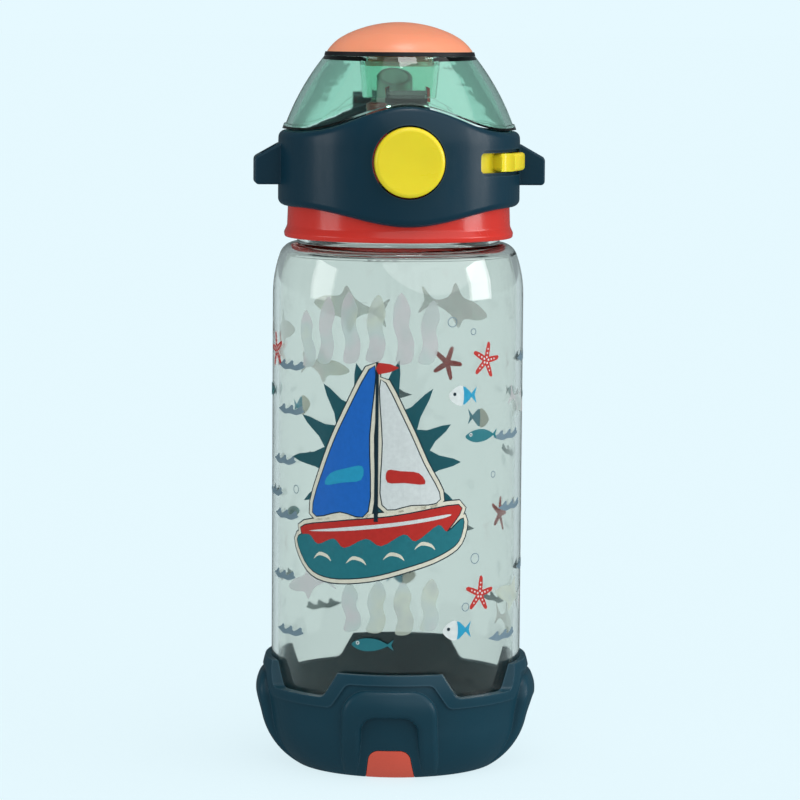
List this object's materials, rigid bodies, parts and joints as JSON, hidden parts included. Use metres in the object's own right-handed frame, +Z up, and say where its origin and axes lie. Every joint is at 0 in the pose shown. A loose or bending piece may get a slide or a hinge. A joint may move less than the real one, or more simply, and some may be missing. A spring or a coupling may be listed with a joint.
{
  "type": "kids water bottle",
  "caption": "Clear drinking bottle for a child with a push-button flip dome over a spout, lockable lid, strap lugs and a non-slip boot",
  "frame": {"origin": "centre of the base, on the surface the bottle stands on", "axes": "+Z up along the bottle, -Y towards the push button, +X towards the side with the lock slider"},
  "size_m": [0.0854, 0.0832, 0.2194],
  "materials": {
    "clear_body": "clear pale green moulded plastic, polished, with a printed sea pattern",
    "green_clear": "clear sea-green moulded plastic, polished",
    "navy_plastic": "satin moulded plastic",
    "black_plastic": "satin moulded plastic",
    "red_plastic": "glossy moulded plastic",
    "salmon_plastic": "satin moulded plastic",
    "yellow_plastic": "satin moulded plastic",
    "grey_silicone": "soft translucent silicone",
    "black_rubber": "soft matt rubber",
    "red_rubber": "non-slip matt rubber",
    "spring_steel": "stainless wire"
  },
  "bodies": {
    "bottle": {"bottle_body": "clear_body", "boot": "navy_plastic", "boot_foot": "red_rubber"},
    "mouth_seal": {"lid_gasket": "grey_silicone"},
    "lid": {"lid_base": "red_plastic", "collar": "navy_plastic", "spout": "grey_silicone", "spout_clamp": "red_plastic", "spout_valve": "grey_silicone", "vent_valve": "grey_silicone", "slider_keeper": "black_plastic", "hinge_pin": "spring_steel", "hinge_spring": "spring_steel", "button_spring": "spring_steel"},
    "button": {"push_button": "yellow_plastic", "latch_hook": "black_plastic"},
    "lock": {"lock_slider": "yellow_plastic"},
    "dome": {"dome": "green_clear", "cap_gasket": "black_rubber", "dome_cap": "salmon_plastic", "spout_seal": "grey_silicone"}
  },
  "joints": [
    {"name": "lid_rise", "type": "slide", "parent": "bottle", "child": "mouth_seal", "axis": [0, 0, 1], "range_m": [0, 0.006]},
    {"name": "lid_turn", "type": "hinge", "parent": "mouth_seal", "child": "lid", "pos_m": [0, 0, 0.165], "axis": [0, 0, 1], "range_deg": [0, 540]},
    {"name": "dome_hinge", "type": "hinge", "parent": "lid", "child": "dome", "pos_m": [0, 0.0336, 0.1959], "axis": [-1, 0, 0], "range_deg": [0, 115]},
    {"name": "button_push", "type": "slide", "parent": "lid", "child": "button", "axis": [0, 1, 0], "range_m": [0, 0.002], "stiffness_N_per_m": 800, "deforming": ["button_spring"]},
    {"name": "lock_slide", "type": "hinge", "parent": "lid", "child": "lock", "pos_m": [0, 0, 0.1791], "axis": [0, 0, 1], "range_deg": [-12, 0]}
  ],
  "couplings": [
    {"joint": "lid_rise", "follows": "lid_turn", "m_per_rad": 0.00063662}
  ]
}
